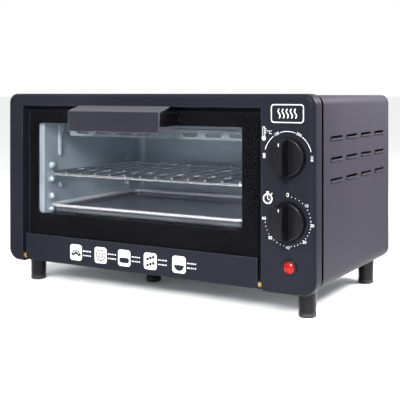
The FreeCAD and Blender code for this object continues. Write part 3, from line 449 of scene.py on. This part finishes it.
def temperature_print():
    marks = Print(print_y)
    x, z = temperature.x, temperature.z
    marks.ring(x, z, 0.0232, 0.0005, -74, -37, 16)
    marks.ring(x, z, 0.0232, 0.0005, -19, 19, 16)
    marks.ring(x, z, 0.0232, 0.0005, 37, 76, 16)
    tx, tz = x - 0.0237, z + 0.0215
    marks.stroke(rounded(tx - 0.0010, tx + 0.0010, tz - 0.0034, tz + 0.0055, 0.0009), 0.0004, True)
    marks.ring(tx, tz - 0.0050, 0.0018, 0.0005)
    marks.disc(tx, tz - 0.0050, 0.0009)
    for rise in (0.0000, 0.0018, 0.0036):
        marks.stroke([(tx + 0.0015, tz + rise), (tx + 0.0027, tz + rise)], 0.0004)
    marks.finish("temperature_print", materials["white_print"], "body", "casing_paint")
    for label, turn in (("100", -89), ("150", -28), ("200", 28), ("250", 91)):
        lx, lz = clock(x, z, 0.0233, turn)
        number(label, lx, lz, 0.0036, print_y, "temperature_" + label, turn)
    number("°C", tx + 0.0056, tz + 0.0004, 0.0044, print_y, "temperature_unit")


def timer_print():
    marks = Print(print_y)
    x, z = timer.x, timer.z
    stops = ((0, 0), (10, 50), (20, 95), (30, 137), (40, 180), (50, 227), (60, 273))
    for (_, start), (_, end) in zip(stops, stops[1:]):
        for step in range(1, 5):
            px, pz = clock(x, z, 0.0224, start + (end - start) * step / 5)
            marks.disc(px, pz, 0.00042, 12)
    cx, cz = x - 0.0198, z + 0.0193
    marks.ring(cx, cz, 0.0044, 0.0008)
    marks.stroke([(cx, cz + 0.0028), (cx, cz), (cx + 0.0019, cz - 0.0011)], 0.0006)
    marks.stroke([(cx - 0.0012, cz + 0.0060), (cx + 0.0012, cz + 0.0060)], 0.0011)
    marks.stroke([(cx + 0.0034, cz + 0.0042), (cx + 0.0046, cz + 0.0054)], 0.0009)
    for hour in range(0, 360, 30):
        marks.disc(*clock(cx, cz, 0.0032, hour), 0.0003, 8)
    marks.finish("timer_print", materials["white_print"], "body", "casing_paint")
    for value, turn in stops:
        lx, lz = clock(x, z, 0.0236, turn)
        number(str(value), lx, lz, 0.0040 if value else 0.0054, print_y, "timer_%02d" % value)


def emblem():
    """Plain generic mark at the panel's upper right: heat waves in a rounded frame."""
    marks = Print(print_y)
    x, z = 0.1533, 0.1872
    marks.stroke(rounded(x - 0.0157, x + 0.0157, z - 0.0080, z + 0.0080, 0.0026), 0.0009, True)
    for shift in (-0.0080, -0.0040, 0.0, 0.0040, 0.0080):
        wave = []
        for step in range(9):
            wave.append((x + shift + 0.0010 * math.sin(step * math.pi / 4), z - 0.0042 + 0.00105 * step))
        marks.stroke(wave, 0.0011)
    marks.finish("heat_mark", materials["white_print"], "body", "casing_paint")


def pointers():
    """White line along the top end of each knob's grip."""
    for node, body in (("temperature_knob", "temperature_control"), ("timer_knob", "timer_control")):
        low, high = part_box(node)
        centre = (low + high) / 2
        marks = Print(low.y - 0.00003)
        marks.tile(centre.x - 0.0004, centre.x + 0.0004, centre.z + 0.0106, centre.z + 0.0134, 0.0003)
        marks.finish(node + "_pointer", materials["white_print"], body, "black_phenolic")


# ---------- Cooking guide on the door's lower trim ----------


def croissant(marks, x, z):
    outer = [clock(x, z - 0.0034, 0.0066, turn) for turn in range(-84, 85, 12)]
    inner = [clock(x, z - 0.0050, 0.0030, turn) for turn in range(70, -71, -14)]
    marks.polygon(outer + inner)


def croissant_creases(marks, x, z):
    for turn in (-52, -26, 0, 26, 52):
        marks.stroke([clock(x, z - 0.0034, 0.0036, turn), clock(x, z - 0.0034, 0.0068, turn)], 0.0006)


def pizza(marks, x, z):
    marks.ring(x, z, 0.0054, 0.0011)
    toppings = (
        (-0.0018, 0.0016), (0.0020, 0.0014), (0.0004, -0.0022), (-0.0026, -0.0012), (0.0028, -0.0012),
    )
    for dx, dz in toppings:
        marks.disc(x + dx, z + dz, 0.0010, 14)


def loaf(marks, x, z):
    marks.polygon(rounded(x - 0.0060, x + 0.0060, z - 0.0050, z + 0.0004, 0.0024))
    steam(marks, x, z + 0.0014)


def steam(marks, x, z):
    for shift in (-0.0030, 0.0, 0.0030):
        wave = [(x + shift + 0.0006 * math.sin(step * 1.3), z + 0.0009 * step) for step in range(5)]
        marks.stroke(wave, 0.0007)


def skewers(marks, x, z):
    for shift in (-0.0030, 0.0030):
        marks.stroke([(x - 0.0064, z + shift - 0.0022), (x + 0.0064, z + shift + 0.0022)], 0.0006)
        for along in (-0.0032, 0.0002, 0.0036):
            px, pz = x + along, z + shift + along * 0.34
            marks.tile(px - 0.0014, px + 0.0014, pz - 0.0015, pz + 0.0015, 0.0006)


def dish(marks, x, z):
    bowl = [clock(x, z - 0.0004, 0.0058, turn) for turn in range(90, 271, 15)]
    marks.polygon(bowl)
    steam(marks, x, z + 0.0010)


def cooking_guide():
    """Five white tiles with food pictograms, each with two rows of plain dashes for times."""
    low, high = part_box("door_trim")
    y = low.y - lift
    tiles = Print(y)
    signs = Print(y - 0.00008)
    creases = Print(y - 0.00014)
    z0, z1 = 0.0317, 0.0481
    z = (z0 + z1) / 2
    places = (-0.0870, -0.0552, -0.0259, 0.0055, 0.0387)
    for x, draw in zip(places, (croissant, pizza, loaf, skewers, dish)):
        tiles.tile(x - 0.0076, x + 0.0076, z0, z1, 0.0030)
        draw(signs, x, z)
        for row, count in ((z + 0.0022, 5), (z - 0.0022, 5)):
            for dash in range(count):
                start = x + 0.0092 + dash * 0.0021
                wide = 0.0015 if dash % 2 == 0 else 0.0010
                tiles.tile(start, start + wide, row - 0.0006, row + 0.0006, 0.0002)
    tiles.finish("guide_tiles", materials["white_print"], "door", "casing_paint")
    croissant_creases(creases, places[0], z)
    signs.finish("guide_signs", materials["casing_paint"], "door", "casing_paint")
    creases.finish("guide_creases", materials["white_print"], "door", "casing_paint")


def glass_border():
    """Black fired-on border on the pane's rear face, around the window."""
    low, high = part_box("door_glass")
    x0, x1 = low.x + 0.001, high.x - 0.001
    z0, z1 = low.z + 0.001, high.z - 0.001
    left, right = window_x
    sill, head = window_z
    border = Print(high.y + lift)
    strips = (
        (x0, left, z0, z1), (right, x1, z0, z1), (left, right, z0, sill), (left, right, head, z1),
    )
    for start, end, foot, peak in strips:
        border.polygon([(start, foot), (end, foot), (end, peak), (start, peak)])
    border.finish("glass_border", materials["glass_border"], "door", "casing_paint")


temperature_print()
timer_print()
glass_border()
emblem()
pointers()
cooking_guide()


# ---------- Studio ----------


def area(name, spot, aim, size, watts, tint=(1, 1, 1), spread=180):
    light = bpy.data.lights.new(name, "AREA")
    light.energy = watts
    light.color = tint
    light.size = size
    light.spread = math.radians(spread)
    lamp = bpy.data.objects.new(name, light)
    lamp.location = spot
    lamp.rotation_euler = (Vector(aim) - Vector(spot)).to_track_quat("-Z", "Y").to_euler()
    scene.collection.objects.link(lamp)
    return lamp


def floor():
    """Wide pale sheet with slight mottling."""
    mesh = bmesh.new()
    bmesh.ops.create_grid(mesh, x_segments=24, y_segments=24, size=60.0)
    data = bpy.data.meshes.new("studio_floor")
    mesh.to_mesh(data)
    mesh.free()
    made, tree, shader = new_material("floor_paper", (0.86, 0.86, 0.87), 0.9)
    tree.links.new(grade(tree, noise(tree, 3.0, 3.0), (0.90, 0.90, 0.905), (0.94, 0.94, 0.945)),
                   shader.inputs["Base Color"])
    shader.inputs["Specular IOR Level"].default_value = 0.0
    data.materials.append(made)
    sheet = bpy.data.objects.new("studio_floor", data)
    scene.collection.objects.link(sheet)


def sky():
    """Soft surround: white behind the object and dimmer in front, where the panel and glass look."""
    world = bpy.data.worlds.new("studio")
    scene.world = world
    world.use_nodes = True
    tree = world.node_tree
    back = tree.nodes["Background"]
    where = tree.nodes.new("ShaderNodeTexCoord")
    split = tree.nodes.new("ShaderNodeSeparateXYZ")
    tree.links.new(where.outputs["Generated"], split.inputs["Vector"])
    ramp = tree.nodes.new("ShaderNodeValToRGB")
    spread = tree.nodes.new("ShaderNodeMapRange")
    spread.inputs["From Min"].default_value = -0.9
    spread.inputs["From Max"].default_value = 0.6
    tree.links.new(split.outputs["Y"], spread.inputs["Value"])
    tree.links.new(spread.outputs["Result"], ramp.inputs["Fac"])
    ramp.color_ramp.elements[0].color = (0.22, 0.22, 0.25, 1)
    ramp.color_ramp.elements[1].color = (1.0, 1.0, 1.0, 1)
    overhead = tree.nodes.new("ShaderNodeMapRange")
    overhead.inputs["From Min"].default_value = 0.35
    overhead.inputs["From Max"].default_value = 0.95
    overhead.inputs["To Max"].default_value = 0.50
    tree.links.new(split.outputs["Z"], overhead.inputs["Value"])
    total = tree.nodes.new("ShaderNodeMix")
    total.data_type = "RGBA"
    total.blend_type = "ADD"
    total.inputs[0].default_value = 1.0
    tree.links.new(ramp.outputs["Color"], total.inputs[6])
    tree.links.new(overhead.outputs["Result"], total.inputs[7])
    tree.links.new(total.outputs[2], back.inputs["Color"])
    back.inputs["Strength"].default_value = 1.0


floor()
sky()
area("key", (-0.9, -1.3, 1.6), (0.0, -0.05, 0.1), 1.1, 5)
area("side", (0.44, 0.24, 0.42), (0.18, 0.06, 0.24), 0.22, 2.6, (1.0, 0.98, 1.0), spread=75)
area("over", (0.1, -0.1, 1.7), (0.0, 0.0, 0.1), 1.2, 6)
area("oven_fill", (0.30, -1.25, 0.80), (-0.03, 0.0, 0.12), 0.5, 3.0, spread=36)


# ---------- Camera ----------


def camera():
    data = bpy.data.cameras.new("camera")
    data.sensor_width = 36.0
    data.lens = 76.2
    data.shift_y = -0.267
    data.clip_start = 0.02
    data.clip_end = 50.0
    data.dof.use_dof = False
    view = bpy.data.objects.new("camera", data)
    scene.collection.objects.link(view)
    view.location = (0.4672, -0.7876, 0.2055)
    view.rotation_euler = (math.radians(90), 0, math.radians(30.16))
    scene.camera = view


camera()
